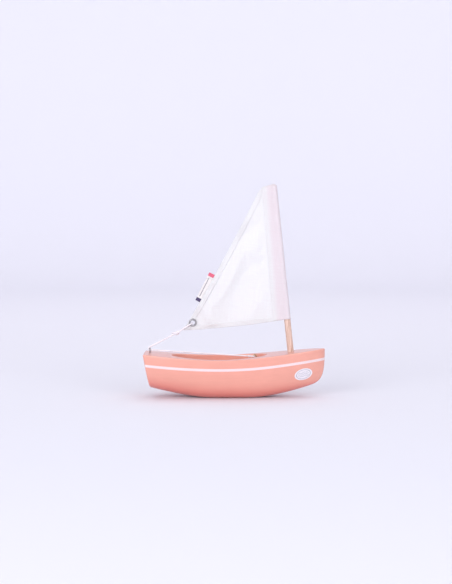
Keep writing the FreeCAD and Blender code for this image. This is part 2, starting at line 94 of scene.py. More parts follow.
# Sail outline, from the CAD sail where it can be read there
FOOT = 31.3 * MM
HEAD = rig_range("sail", UP)[1]
CLEW = rig_range("sail", AFT)[1]
HEAD_DROP = 1.5 * MM
LEECH_HEAD_REACH = 14.3 * MM
LEECH_HEAD_HEIGHT = 154.0 * MM
LEECH_HOLLOW = 1.4 * MM
SEAM_FOOT = 11.9 * MM
SEAM_HEAD = 9.1 * MM
FOOT_ROUND = 1.3 * MM
MAST_RADIUS = rig_range("mast", PORT)[1]
MAST_TOP = rig_range("mast", UP)[1]
CLOTH = 0.28 * MM              # thickness of the cotton
LAYER = CLOTH * 1.12           # spacing of folded layers
SLEEVE_RADIUS = MAST_RADIUS + 0.12 * MM + CLOTH / 2
HEM_LEECH = 4.7 * MM
HEM_FOOT = 3.9 * MM
SEAM_FLAP = 1.4 * MM
SLEEVE_SLACK = 0.35 * MM       # how far the sleeve's sides sag in from a straight line
PINCH_HEIGHT = MAST_TOP + 0.3 * MM     # above this the sleeve is pressed together and sewn shut
BELLY_LIMIT = 2.6 * MM
HOLE_RADIUS = 2.95 * MM
LEECH_LEAN = math.atan2(CLEW - LEECH_HEAD_REACH, LEECH_HEAD_HEIGHT - FOOT)
EYELET = eyelet_place()

# How finely the cloth is divided: across the panel, across the leech hem and up the sail
PANEL_STEPS = 84
HEM_STEPS = 8
CLOTH_ROWS = 124

DRAFT_SPACING = 3.0 * MM       # of the coarse sail in the cloth simulation
SETTLE_FRAMES = 40

TAB_LENGTH = 29.4 * MM
TAB_OUTBOARD = 5.2 * MM
TAB_OVERLAP = 4.0 * MM
TAB_HEIGHT = 68.1 * MM
TAB_TURN = math.radians(1.6)   # it is sewn this much more upright than the leech
TAB_BLOCK = 3.4 * MM           # length of the red end and of the blue end
TAB_LINE = (2.9 * MM, 3.65 * MM)       # both edges of its woven line, out from the leech
TAB_LINE_GAP = 1.6 * MM        # from the line's ends to the coloured ends
RIBBON = 0.26 * MM
TAB_PORT = CLOTH / 2 + RIBBON / 2 + 0.04 * MM      # middle of the ribbon's lower layer, out to port

THREAD = 0.14 * MM
STITCH = 1.9 * MM
STITCH_GAP = 0.5 * MM

CORD = 0.7 * MM                # radius of the sheet cord
STRANDS = 8
BRAID = 5.2 * MM               # length of one turn of a braid strand
BRAID_SPACING = 0.22 * MM
BRAID_SIDES = 20
CORD_GAP = 0.06 * MM           # air between the cord and the wire it goes round
CLEW_KNOT_REACH = 105.2 * MM
CLEW_KNOT_HEIGHT = 29.5 * MM
CLEW_LOOP_RADIUS = 2.2 * MM
CLEW_LOOP_CENTRE = 2.92 * MM   # from the eyelet's middle toward the knot
KNOT_TURNS = 2.4
KNOT_RADIUS = 1.35 * MM
KNOT_PITCH = 1.36 * MM
KNOT_TAIL = 4.4 * MM
SHANK_THREAD = 0.25 * MM       # the eye's threaded shank is this much thicker than its wire, on the radius
SHANK_RADIUS = 0.85 * MM       # of the hook, over its thread
HOOK_DROP = 2.0 * MM           # the cord lies this far under the hook's top
END_REACH = 3.2 * MM           # from the hook's wire back to where the cord is bound to itself
WHIPPING_TURNS = 7
WHIPPING_THREAD = 0.2 * MM

STICKER_HALF_LENGTH = 8.7 * MM
STICKER_HALF_HEIGHT = 5.4 * MM
STICKER_TILT = math.radians(15.0)
WAVE_LENGTH = 4.2 * MM
WAVE_SWELL = 0.38 * MM
WAVE_SPACING = 1.6 * MM
WAVE_HALF_WIDTH = 0.20 * MM

rng = random.Random(7)


# ---------------------------------------------------------------- materials

class Tree:
    """A short way to write a node material."""

    def __init__(self, name):
        self.material = bpy.data.materials.new(name)
        self.material.use_nodes = True
        self.tree = self.material.node_tree
        self.tree.nodes.clear()
        self.output = self.tree.nodes.new("ShaderNodeOutputMaterial")

    def node(self, kind, settings=None, **inputs):
        made = self.tree.nodes.new("ShaderNode" + kind)
        for key, value in (settings or {}).items():
            setattr(made, key, value)
        for key, value in inputs.items():
            self.put(made, key.replace("_", " "), value)
        return made

    def put(self, target, key, value):
        socket = target.inputs[int(key)] if key.isdigit() else target.inputs[key]
        if isinstance(value, bpy.types.NodeSocket):
            self.tree.links.new(value, socket)
        else:
            socket.default_value = value

    def math(self, operation, a, b=0.0, c=0.0):
        made = self.node("Math", {"operation": operation})
        for index, value in enumerate((a, b, c)):
            self.put(made, str(index), value)
        return made.outputs[0]

    def place(self):
        """Where the shaded point is in the row frame, in metres."""
        return self.node("TexCoord").outputs["Object"]

    def dot(self, a, b):
        made = self.node("VectorMath", {"operation": "DOT_PRODUCT"})
        self.put(made, "0", a)
        self.put(made, "1", b)
        return made.outputs["Value"]

    def along(self, place, way, origin=(0, 0, 0)):
        """Distance of a place from an origin along a direction."""
        moved = self.node("VectorMath", {"operation": "SUBTRACT"})
        self.put(moved, "0", place)
        self.put(moved, "1", tuple(origin))
        return self.dot(moved.outputs[0], tuple(way))

    def stretched(self, place, scale, turn=0.0):
        """The place with its axes scaled, after a turn about Y, for grain that runs one way."""
        mapping = self.node("Mapping", {"vector_type": "POINT"}, Vector=place)
        mapping.inputs["Rotation"].default_value = (0, turn, 0)
        mapping.inputs["Scale"].default_value = scale
        return mapping.outputs[0]

    def noise(self, vector, scale=1.0, detail=3.0, roughness=0.5):
        made = self.node("TexNoise", Vector=vector, Scale=scale, Detail=detail, Roughness=roughness)
        return made.outputs[0]

    def ramp(self, factor, stops):
        made = self.node("ValToRGB", Fac=factor)
        elements = made.color_ramp.elements
        while len(elements) < len(stops):
            elements.new(0.5)
        for element, (position, colour) in zip(elements, stops):
            element.position = position
            element.color = (*colour, 1.0)
        return made.outputs[0]

    def band(self, value, low, high):
        """1 where a value lies between two limits, else 0."""
        over = self.math("GREATER_THAN", value, low)
        under = self.math("LESS_THAN", value, high)
        return self.math("MULTIPLY", over, under)

    def fade(self, value, start, end):
        """0 at the start value, 1 at the end value and smooth in between."""
        settings = {"interpolation_type": "SMOOTHSTEP"}
        return self.node("MapRange", settings, Value=value, From_Min=start, From_Max=end).outputs[0]

    def mix(self, factor, a, b, blend="MIX"):
        """Colour a blended with colour b: in a colour mix, inputs 0, 6 and 7 are the factor and the two."""
        made = self.node("Mix", {"data_type": "RGBA", "blend_type": blend})
        for index, value in ((0, factor), (6, a), (7, b)):
            if isinstance(value, tuple):
                value = (*value, 1.0)
            self.put(made, str(index), value)
        return made.outputs[2]

    def bump(self, height, strength, distance):
        return self.node("Bump", Height=height, Strength=strength, Distance=distance).outputs[0]

    def finish(self, shader):
        self.tree.links.new(shader, self.output.inputs["Surface"])
        return self.material


def paint(name, colour, rough):
    """Sprayed satin paint over sanded wood: faint orange peel, grain that telegraphs, edges painted lighter
    as slight wear and a painted rim highlight, and painted shade where it faces down."""
    t = Tree(name)
    place = t.place()
    cloud = t.noise(place, 28.0, 3.0)
    grain = t.noise(t.stretched(place, (18.0, 420.0, 420.0)), 1.0, 4.0, 0.6)
    peel = t.noise(place, 900.0, 2.0)
    deeper = tuple(channel * 0.93 for channel in colour)
    paler = tuple(min(1.0, channel * 1.04) for channel in colour)
    body = t.ramp(cloud, ((0.3, deeper), (0.7, paler)))
    streaks = t.ramp(grain, ((0.35, tuple(c * 0.975 for c in colour)), (0.65, paler)))
    base = t.mix(0.5, body, streaks)
    rounded = t.node("Bevel", Radius=0.9 * MM).outputs[0]
    flat = t.node("NewGeometry").outputs["Normal"]
    edge = t.math("SUBTRACT", 1.0, t.dot(rounded, flat))
    # Edges painted lighter: partly slight wear, partly a painted rim highlight.
    wear_and_rim_highlight = t.math("MULTIPLY", t.math("MINIMUM", t.math("MULTIPLY", edge, 9.0), 1.0), 0.35)
    base = t.mix(wear_and_rim_highlight, base, tuple(min(1.0, c * 1.06 + 0.02) for c in colour))
    # Painted shade: the colour turns deeper red where the surface faces down, for the weaker light under
    # the hull.
    painted_underside_shade = t.fade(t.along(flat, (0, 0, -1)), 0.30, 0.90)
    base = t.mix(painted_underside_shade, base, (colour[0], colour[1] * 0.62, colour[2] * 0.64))
    roughness = t.math("MULTIPLY_ADD", cloud, 0.12, rough - 0.06)
    relief = t.math("MULTIPLY_ADD", grain, 0.6, t.math("MULTIPLY", peel, 0.4))
    normal = t.bump(relief, 0.35, 0.05 * MM)
    shader = t.node("BsdfPrincipled", Base_Color=base, Roughness=roughness, Normal=normal,
                    Coat_Weight=0.55, Coat_Roughness=0.22)
    return t.finish(shader.outputs[0])


def beech(name):
    """Bare sanded beech dowel: close straight grain with the short dark flecks of the wood."""
    t = Tree(name)
    place = t.place()
    turned = t.stretched(place, (1.0, 1.0, 1.0), -RAKE)
    grain = t.noise(t.stretched(turned, (520.0, 520.0, 14.0)), 1.0, 5.0, 0.62)
    broad = t.noise(t.stretched(turned, (160.0, 160.0, 6.0)), 1.0, 2.0)
    flecks = t.noise(t.stretched(turned, (1500.0, 1500.0, 210.0)), 1.0, 1.0)
    pale = (0.69, 0.50, 0.42)
    dark = (0.42, 0.27, 0.21)
    wood = t.ramp(grain, ((0.30, dark), (0.55, pale), (0.8, (0.71, 0.545, 0.47))))
    tone = t.ramp(broad, ((0.3, (0.92, 0.90, 0.88)), (0.7, (1.0, 1.0, 1.0))))
    toned = t.mix(1.0, wood, tone, "MULTIPLY")
    fleck = t.math("MULTIPLY", t.math("GREATER_THAN", flecks, 0.66), 0.45)
    base = t.mix(fleck, toned, (0.28, 0.17, 0.12))
    normal = t.bump(grain, 0.4, 0.08 * MM)
    shader = t.node("BsdfPrincipled", Base_Color=base, Roughness=0.62, Normal=normal)
    return t.finish(shader.outputs[0])


def metal(name, colour, rough):
    """Bright plated wire and sheet: tiny drawn lines and a little tarnish."""
    t = Tree(name)
    place = t.place()
    tarnish = t.noise(place, 420.0, 4.0)
    lines = t.noise(t.stretched(place, (2600.0, 2600.0, 300.0)), 1.0, 2.0)
    base = t.ramp(tarnish, ((0.3, tuple(c * 0.80 for c in colour)), (0.62, colour)))
    roughness = t.math("MULTIPLY_ADD", tarnish, 0.22, rough - 0.08)
    normal = t.bump(lines, 0.18, 0.02 * MM)
    shader = t.node("BsdfPrincipled", Base_Color=base, Metallic=1.0, Roughness=roughness, Normal=normal)
    return t.finish(shader.outputs[0])


def woven(t, place, pitch, turn):
    """Height of a plain weave with its threads along and across the mast, and its slubs."""
    turned = t.stretched(place, (1.0, 1.0, 1.0), turn)
    split = t.node("SeparateXYZ", Vector=turned)
    wave = 2 * math.pi / pitch
    across = t.math("SINE", t.math("MULTIPLY", split.outputs[0], wave))
    upward = t.math("SINE", t.math("MULTIPLY", split.outputs[2], wave))
    weave = t.math("MULTIPLY", across, upward)
    slubs_up = t.noise(t.stretched(turned, (1500.0, 200.0, 60.0)), 1.0, 3.0, 0.7)
    slubs_across = t.noise(t.stretched(turned, (60.0, 200.0, 1500.0)), 1.0, 3.0, 0.7)
    slubs = t.math("ADD", slubs_up, slubs_across)
    return weave, slubs


def cotton(name, colour, shade):
    """Thin plain-weave cotton that lets some light through, with painted shade making it pinker and darker
    where the sleeve doubles it.
    """
    t = Tree(name)
    place = t.place()
    weave, slubs = woven(t, place, 0.46 * MM, -RAKE)
    tone = t.math("MULTIPLY_ADD", weave, 0.10, t.math("MULTIPLY", slubs, 0.5))
    base = t.ramp(tone, ((0.32, shade), (0.62, colour)))
    # Painted shade: pinker and darker over the sleeve, where its two layers let less light through.
    up_mast = t.along(place, UP, STEP)
    seam = t.math("MULTIPLY_ADD", up_mast, (SEAM_HEAD - SEAM_FOOT) / (HEAD - FOOT), SEAM_FOOT)
    past_seam = t.math("SUBTRACT", t.along(place, AFT, STEP), seam)
    painted_sleeve_shade = t.fade(past_seam, SEAM_FLAP, -5.0 * MM)
    base = t.mix(painted_sleeve_shade, base, (1.0, 0.92, 0.95), "MULTIPLY")
    relief = t.math("MULTIPLY_ADD", weave, 0.5, slubs)
    normal = t.bump(relief, 0.35, 0.06 * MM)
    cloth = t.node("BsdfPrincipled", Base_Color=base, Roughness=0.86, Normal=normal,
                   Sheen_Weight=0.25, Sheen_Roughness=0.5)
    cloth.inputs["Specular IOR Level"].default_value = 0.2
    through = t.node("BsdfTranslucent", Color=base, Normal=normal)
    mixed = t.node("MixShader", Fac=0.30)
    t.put(mixed, "1", cloth.outputs[0])
    t.put(mixed, "2", through.outputs[0])
    return t.finish(mixed.outputs[0])


def soft_fibre(name, colour, rough=0.85):
    """Cord and thread: matt fibres with a light sheen and a slight change of tone along them."""
    t = Tree(name)
    place = t.place()
    fibre = t.noise(place, 2600.0, 3.0, 0.7)
    cloud = t.noise(place, 120.0, 2.0)
    tone = t.math("MULTIPLY_ADD", cloud, 0.6, t.math("MULTIPLY", fibre, 0.4))
    base = t.ramp(tone, ((0.3, tuple(c * 0.90 for c in colour)), (0.7, colour)))
    normal = t.bump(fibre, 0.5, 0.05 * MM)
    shader = t.node("BsdfPrincipled", Base_Color=base, Roughness=rough, Normal=normal,
                    Sheen_Weight=0.3, Sheen_Roughness=0.4)
    return t.finish(shader.outputs[0])


def ribbon(name):
    """Woven ribbon: a red end, a blue end and a white field with one plain woven line."""
    middle, down, outward = tab_frame()
    origin = at(*middle)
    t = Tree(name)
    place = t.place()
    lengthwise = t.along(place, at(*down) - STEP, origin)
    sideways = t.along(place, at(*outward) - STEP, origin)
    block = TAB_LENGTH / 2 - TAB_BLOCK
    is_red = t.math("LESS_THAN", lengthwise, -block)
    is_blue = t.math("GREATER_THAN", lengthwise, block)
    line_end = block - TAB_LINE_GAP
    line = t.math("MULTIPLY", t.band(sideways, *TAB_LINE), t.band(lengthwise, -line_end, line_end))
    base = t.mix(line, (0.68, 0.645, 0.635), (0.24, 0.23, 0.25))
    base = t.mix(is_red, base, (0.62, 0.10, 0.165))
    base = t.mix(is_blue, base, (0.050, 0.034, 0.100))
    ribs = t.math("SINE", t.math("MULTIPLY", lengthwise, 2 * math.pi / (0.4 * MM)))
    warp = t.math("SINE", t.math("MULTIPLY", sideways, 2 * math.pi / (0.3 * MM)))
    shade = t.math("MULTIPLY_ADD", t.math("MULTIPLY", ribs, warp), 0.05, 0.95)
    base = t.mix(1.0, base, shade, "MULTIPLY")
    normal = t.bump(t.math("ADD", ribs, t.math("MULTIPLY", warp, 0.5)), 0.4, 0.03 * MM)
    shader = t.node("BsdfPrincipled", Base_Color=base, Roughness=0.6, Normal=normal, Sheen_Weight=0.3)
    return t.finish(shader.outputs[0])


def printed_sticker(name):
    """White satin sticker with a plain printed ring and three wave lines."""
    low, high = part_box("bow_sticker")
    middle = (Vector(low) + Vector(high)) / 2
    lengthwise = Vector((math.cos(STICKER_TILT), 0, math.sin(STICKER_TILT)))
    upward = Vector((-math.sin(STICKER_TILT), 0, math.cos(STICKER_TILT)))
    t = Tree(name)
    place = t.place()
    u = t.along(place, lengthwise, middle)
    v = t.along(place, upward, middle)
    across = t.math("DIVIDE", u, STICKER_HALF_LENGTH)
    over = t.math("DIVIDE", v, STICKER_HALF_HEIGHT)
    squared = t.math("ADD", t.math("MULTIPLY", across, across), t.math("MULTIPLY", over, over))
    reach = t.math("SQRT", squared)
    ring = t.band(reach, 0.74, 0.82)
    swell = t.math("MULTIPLY", t.math("SINE", t.math("MULTIPLY", u, 2 * math.pi / WAVE_LENGTH)), WAVE_SWELL)
    lines = 0.0
    for height in (-WAVE_SPACING, 0.0, WAVE_SPACING):
        offset = t.math("ABSOLUTE", t.math("SUBTRACT", t.math("SUBTRACT", v, height), swell))
        lines = t.math("MAXIMUM", lines, t.math("LESS_THAN", offset, WAVE_HALF_WIDTH))
    inked = t.math("MAXIMUM", ring, t.math("MULTIPLY", lines, t.math("LESS_THAN", reach, 0.62)))
    mottle = t.noise(place, 500.0, 3.0)
    white = t.ramp(mottle, ((0.3, (0.67, 0.635, 0.68)), (0.7, (0.72, 0.69, 0.72))))
    base = t.mix(t.math("MULTIPLY", inked, 0.8), white, (0.30, 0.31, 0.38))
    normal = t.bump(mottle, 0.15, 0.02 * MM)
    shader = t.node("BsdfPrincipled", Base_Color=base, Roughness=0.38, Normal=normal)
    return t.finish(shader.outputs[0])


def plain_surface(name, colour, rough):
    """Studio floor: matt paper with the faintest mottling."""
    t = Tree(name)
    mottle = t.noise(t.place(), 3.0, 2.0)
    base = t.ramp(mottle, ((0.2, tuple(c * 0.995 for c in colour)), (0.8, colour)))
    shader = t.node("BsdfPrincipled", Base_Color=base, Roughness=rough)
    shader.inputs["Specular IOR Level"].default_value = 0.1
    return t.finish(shader.outputs[0])


# ---------------------------------------------------------------- mesh helpers

def mesh_object(name, vertices, faces, material):
    mesh = bpy.data.meshes.new(name)
    mesh.from_pydata([tuple(v) for v in vertices], [], faces)
    mesh.validate()
    mesh.update()
    for polygon in mesh.polygons:
        polygon.use_smooth = True
    mesh.materials.append(material)
    obj = bpy.data.objects.new(name, mesh)
    bpy.context.scene.collection.objects.link(obj)
    return obj


def surface_normals(grid):
    """Unit normals of a grid of points, rows by columns by xyz."""
    down = np.gradient(grid, axis=0)
    along = np.gradient(grid, axis=1)
    normal = np.cross(along, down)
    length = np.linalg.norm(normal, axis=2, keepdims=True)
    return normal / np.maximum(length, 1e-12)


def sheet(grid, thickness, keep=None):
    """Vertices and faces of a closed sheet of even thickness on a grid of mid-surface points."""
    rows, columns = grid.shape[:2]
    offset = surface_normals(grid) * thickness / 2
    vertices = np.concatenate([(grid + offset).reshape(-1, 3), (grid - offset).reshape(-1, 3)])
    under = rows * columns
    faces = []
    rims = {}                  # edges that only one cell has, in the order they were met
    for i in range(rows - 1):
        for j in range(columns - 1):
            if keep is not None and not keep[i][j]:
                continue
            a, b = i * columns + j, i * columns + j + 1
            c, d = b + columns, a + columns
            faces.append((a, b, c, d))
            faces.append((under + d, under + c, under + b, under + a))
            for edge in ((a, b), (b, c), (c, d), (d, a)):
                if edge[::-1] in rims:
                    del rims[edge[::-1]]
                else:
                    rims[edge] = True
    for a, b in rims:
        faces.append((b, a, under + a, under + b))
    used = sorted({index for face in faces for index in face})
    order = {old: new for new, old in enumerate(used)}
    return [vertices[index] for index in used], [tuple(order[index] for index in face) for face in faces]


def tube(path, radius_at, sides):
    """Vertices and faces of a tube along points, its radius a function of (distance, angle)."""
    path = np.asarray(path, float)
    count = len(path)
    tangent = np.gradient(path, axis=0)
    tangent /= np.linalg.norm(tangent, axis=1, keepdims=True)
    steps = np.linalg.norm(np.diff(path, axis=0), axis=1)
    distance = np.concatenate([[0], np.cumsum(steps)])
    side = np.cross(tangent[0], (0, 0, 1.0))
    if np.linalg.norm(side) < 0.2:
        side = np.cross(tangent[0], (0, 1.0, 0))
    side /= np.linalg.norm(side)
    vertices = []
    for i in range(count):
        side = side - tangent[i] * side.dot(tangent[i])
        side /= np.linalg.norm(side)
        other = np.cross(tangent[i], side)
        for k in range(sides):
            angle = 2 * math.pi * k / sides
            way = side * math.cos(angle) + other * math.sin(angle)
            vertices.append(path[i] + way * radius_at(distance[i], angle))
    faces = []
    for i in range(count - 1):
        for k in range(sides):
            a = i * sides + k
            b = i * sides + (k + 1) % sides
            faces.append((a, b, b + sides, a + sides))
    faces.append(tuple(reversed(range(sides))))
    faces.append(tuple((count - 1) * sides + k for k in range(sides)))
    return vertices, faces


def merge(parts):
    """Several (vertices, faces) lists as one."""
    vertices, faces = [], []
    for part_vertices, part_faces in parts:
        base = len(vertices)
        vertices += [tuple(v) for v in part_vertices]
        faces += [tuple(base + index for index in face) for face in part_faces]
    return vertices, faces


def resample(points, spacing):
    """Points along a path at even spacing."""
    points = np.asarray(points, float)
    distance = np.concatenate([[0], np.cumsum(np.linalg.norm(np.diff(points, axis=0), axis=1))])
    count = max(2, int(round(distance[-1] / spacing)) + 1)
    wanted = np.linspace(0, distance[-1], count)
    return np.stack([np.interp(wanted, distance, points[:, axis]) for axis in range(3)], axis=1)


# ---------------------------------------------------------------- sail

def lerp(a, b, t):
    """From a at t = 0 to b at t = 1."""
    return a + (b - a) * t


def seam_reach(height):
    """Where the sleeve is sewn, aft of the mast, at a height."""
    return lerp(SEAM_FOOT, SEAM_HEAD, (height - FOOT) / (HEAD - FOOT))


def leech_reach(height):
    """The sail's after edge at a height: slightly hollow, then cut off short at the head."""
    if height <= LEECH_HEAD_HEIGHT:
        share = (height - FOOT) / (LEECH_HEAD_HEIGHT - FOOT)
        hollow = LEECH_HOLLOW / math.cos(LEECH_LEAN) * 4 * share * (1 - share)
        return lerp(CLEW, LEECH_HEAD_REACH, share) - hollow
    share = (height - LEECH_HEAD_HEIGHT) / (HEAD - LEECH_HEAD_HEIGHT)
    return lerp(LEECH_HEAD_REACH, SEAM_HEAD + 1.2 * MM, share)


def foot_drop(reach):
    """How far the rounded foot hangs below its straight line."""
    share = min(1.0, max(0.0, reach / CLEW))
    return FOOT_ROUND * 4 * share * (1 - share)


def head_drop(reach):
    """How far the head's sewn edge lies below its highest point: it slopes aft and turns down in front."""
    if reach >= 0:
        return HEAD_DROP * min(reach / SEAM_HEAD, 1.4)
    return 1.6 * MM * min(1.0, (reach / SLEEVE_RADIUS) ** 2)


def smooth(share):
    """0 up to 0, 1 from 1 on, and a smooth step in between."""
    share = min(1.0, max(0.0, share))
    return share * share * (3 - 2 * share)


def clear_of_hole(reach, height):
    """Push a place that falls in the eyelet's hole out to its rim."""
    away = math.hypot(reach - EYELET[0], height - EYELET[1])
    if away >= HOLE_RADIUS:
        return reach, height
    grow = HOLE_RADIUS / max(away, 1e-6)
    return EYELET[0] + (reach - EYELET[0]) * grow, EYELET[1] + (height - EYELET[1]) * grow


def in_hole(reach, height):
    """Whether a place falls in the eyelet's hole."""
    return math.hypot(reach - EYELET[0], height - EYELET[1]) < HOLE_RADIUS


def sail_draft():
    """A coarse draft of the sail's panel, pinned at the sleeve, the head and the clew."""
    mesh = bpy.data.meshes.new("sail_draft")
    work = bmesh.new()
    columns = int((CLEW - SEAM_HEAD) / DRAFT_SPACING) + 3
    rows = int((HEAD - FOOT) / DRAFT_SPACING) + 2
    lattice = {}
    for i in range(rows):
        height = lerp(FOOT, HEAD, i / (rows - 1))
        for j in range(columns):
            reach = lerp(SEAM_HEAD, CLEW + DRAFT_SPACING, j / (columns - 1))
            before_seam = reach < seam_reach(height) - DRAFT_SPACING
            past_leech = reach > leech_reach(height) + DRAFT_SPACING * 0.6
            if before_seam or past_leech:
                continue
            ripple = 0.25 * MM * math.sin(reach * 90 + height * 70) + rng.uniform(-0.04, 0.04) * MM
            lattice[i, j] = work.verts.new(at(reach, height, ripple))
    for i, j in lattice:
        corners = [(i, j), (i, j + 1), (i + 1, j + 1), (i + 1, j)]
        if all(corner in lattice for corner in corners):
            work.faces.new([lattice[corner] for corner in corners])
    work.to_mesh(mesh)
    work.free()
    draft = bpy.data.objects.new("sail_draft", mesh)
    bpy.context.scene.collection.objects.link(draft)
    pins = draft.vertex_groups.new(name="pins")
    for vertex in mesh.vertices:
        local = vertex.co - STEP
        reach, height = local.dot(AFT), local.dot(UP)
        near_seam = reach < seam_reach(height) + 1.5 * MM
        near_clew = math.hypot(CLEW - reach, height - FOOT) < 12 * MM
        near_head = height > LEECH_HEAD_HEIGHT
        if near_seam or near_clew or near_head:
            pins.add([vertex.index], 1.0, "REPLACE")
    return draft


def light_breeze():
    """A weak wind from the port side, to belly the cloth."""
    breeze = bpy.data.objects.new("breeze", None)
    bpy.context.scene.collection.objects.link(breeze)
    bpy.context.view_layer.objects.active = breeze
    bpy.ops.object.forcefield_toggle()
    breeze.location = at(0.05, 0.09, -0.3)
    breeze.rotation_euler = (math.radians(-90), 0, 0)
    breeze.field.type = "WIND"
    breeze.field.strength = 6.0
    breeze.field.noise = 0.0
    return breeze


def simulate_belly():
    """The settled draft of the sail: places as (reach, height) and how far each stands out to port."""
    draft = sail_draft()
    cloth = draft.modifiers.new("cloth", "CLOTH")
    settings = cloth.settings
    settings.quality = 12
    settings.mass = 0.08
    settings.tension_stiffness = 60
    settings.compression_stiffness = 60
    settings.shear_stiffness = 20
    settings.bending_stiffness = 0.6
    settings.shrink_min = -0.010
    settings.vertex_group_mass = "pins"
    settings.effector_weights.gravity = 0.15
    cloth.collision_settings.use_collision = False
    breeze = light_breeze()
    cloth.point_cache.frame_start = 1
    cloth.point_cache.frame_end = SETTLE_FRAMES
    for step in range(1, SETTLE_FRAMES + 1):
        bpy.context.scene.frame_set(step)
    settled = draft.evaluated_get(bpy.context.evaluated_depsgraph_get()).to_mesh()
    samples = np.array([(vertex.co - STEP)[:] for vertex in settled.vertices])
    bpy.context.scene.frame_set(1)
    bpy.data.objects.remove(draft)
    bpy.data.objects.remove(breeze)
    reach = samples @ np.array(AFT)
    height = samples @ np.array(UP)
    out = samples[:, 1]
    return np.stack([reach, height], axis=1), out


def belly_table():
    """The simulated set of the sail on a regular table of reach and height."""
    places, out = simulate_belly()
    reaches = np.linspace(0, CLEW, 60)
    heights = np.linspace(FOOT, HEAD, 80)
    table = np.zeros((len(heights), len(reaches)))
    for i, height in enumerate(heights):
        for j, reach in enumerate(reaches):
            gap = np.hypot(places[:, 0] - reach, places[:, 1] - height)
            nearest = np.argsort(gap)[:6]
            weight = 1 / (gap[nearest] + 0.3 * MM) ** 2
            table[i, j] = (out[nearest] * weight).sum() / weight.sum()
    return np.clip(table, -BELLY_LIMIT, BELLY_LIMIT)


BELLY = belly_table()


def belly(reach, height):
    """How far the cloth stands to port: its set, and its stack of layers centred in the eyelet."""
    near_eyelet = math.hypot(EYELET[0] - reach, EYELET[1] - height)
    centred = LAYER / 2 * (1 - smooth((near_eyelet - 7 * MM) / (9 * MM)))
    if BELLY is None:
        return centred
    rows, columns = BELLY.shape
    x = min(max(reach / CLEW, 0.0), 1.0) * (columns - 1)
    y = min(max((height - FOOT) / (HEAD - FOOT), 0.0), 1.0) * (rows - 1)
    j, i = min(int(x), columns - 2), min(int(y), rows - 2)
    u, v = x - j, y - i
    value = ((BELLY[i, j] * (1 - u) + BELLY[i, j + 1] * u) * (1 - v)
             + (BELLY[i + 1, j] * (1 - u) + BELLY[i + 1, j + 1] * u) * v)
    from_seam = smooth((reach - seam_reach(height)) / (9 * MM))
    from_eyelet = smooth((near_eyelet - 5.5 * MM) / (13 * MM))
    from_head = smooth((LEECH_HEAD_HEIGHT + 3 * MM - height) / (10 * MM))
    return centred + value * from_seam * from_eyelet * from_head


def on_sail(reach, height, out=0.0):
    """A place on the set sail, out to port of its middle surface."""
    return at(reach, height, out + belly(reach, height))


def sleeve_section(height):
    """The cloth round the mast at a height, from the sewn edge on the starboard side to the port seam."""
    seam = seam_reach(height)
    pinch = min(1.0, max(0.0, (height - PINCH_HEIGHT) / (HEAD - PINCH_HEIGHT)))
    flat = 1 - 0.86 * pinch * pinch * (3 - 2 * pinch)
    touch = math.acos(SLEEVE_RADIUS / seam)
    points = [(seam + SEAM_FLAP * share, -LAYER) for share in (1.0, 0.75, 0.5, 0.25, 0.0)]
    corner = (SLEEVE_RADIUS * math.cos(touch), SLEEVE_RADIUS * math.sin(touch))
    for step in range(1, 10):
        share = step / 10
        hang = math.sin(math.pi * share) * SLEEVE_SLACK
        points.append((lerp(seam, corner[0], share), lerp(-LAYER, -corner[1], share) + hang))
    arc_steps = 26
    for step in range(arc_steps + 1):
        angle = -touch - (2 * math.pi - 2 * touch) * step / arc_steps
        points.append((SLEEVE_RADIUS * math.cos(angle), SLEEVE_RADIUS * math.sin(angle)))
    for step in range(1, 10):
        share = step / 10
        hang = math.sin(math.pi * share) * SLEEVE_SLACK
        points.append((lerp(corner[0], seam, share), lerp(corner[1], 0.0, share) - hang))
    return [(reach, out * flat) for reach, out in points]


def cloth_row(height_share):
    """One row of the cloth as (reach, height, out): round the mast, across the panel, round the leech."""
    straight = lerp(FOOT, HEAD, height_share)
    foot_fade = (1 - height_share) ** 6
    head_fade = smooth((straight - PINCH_HEIGHT + 4 * MM) / (HEAD - PINCH_HEIGHT + 4 * MM))
    leech = leech_reach(straight)
    seam = seam_reach(straight)
    wide = max(leech - seam, 0.8 * MM)
    hem = min(HEM_LEECH / math.cos(LEECH_LEAN), wide * 0.55)
    section = sleeve_section(straight)
    fold = LAYER / 2
    for step in range(PANEL_STEPS + 1):
        section.append((lerp(seam, leech - fold, step / PANEL_STEPS), 0.0))
    for step in range(1, 6):
        angle = math.pi * step / 6
        section.append((leech - fold + fold * math.sin(angle), -fold + fold * math.cos(angle)))
    for step in range(HEM_STEPS + 1):
        section.append((lerp(leech - fold, leech - hem, step / HEM_STEPS), -LAYER))
    row = []
    for reach, out in section:
        height = straight - foot_drop(reach) * foot_fade - head_drop(reach) * head_fade
        row.append((reach, height, out))
    return row


def build_sail(material):
    """The one-piece cloth with its sleeve, its leech hem and the hole for the eyelet."""
    rows = [cloth_row(i / CLOTH_ROWS) for i in range(CLOTH_ROWS + 1)]
    keep = []
    for above, below in zip(rows, rows[1:]):
        cells = zip(above, above[1:], below, below[1:])
        keep.append([not all(in_hole(place[0], place[1]) for place in corners) for corners in cells])
    grid = []
    for row in rows:
        line = []
        for reach, height, out in row:
            set_out = belly(reach, height) if reach > seam_reach(height) else 0.0
            line.append(at(*clear_of_hole(reach, height), out + set_out)[:])
        grid.append(line)
    return mesh_object("sail_cloth", *sheet(np.array(grid), CLOTH, keep), material)


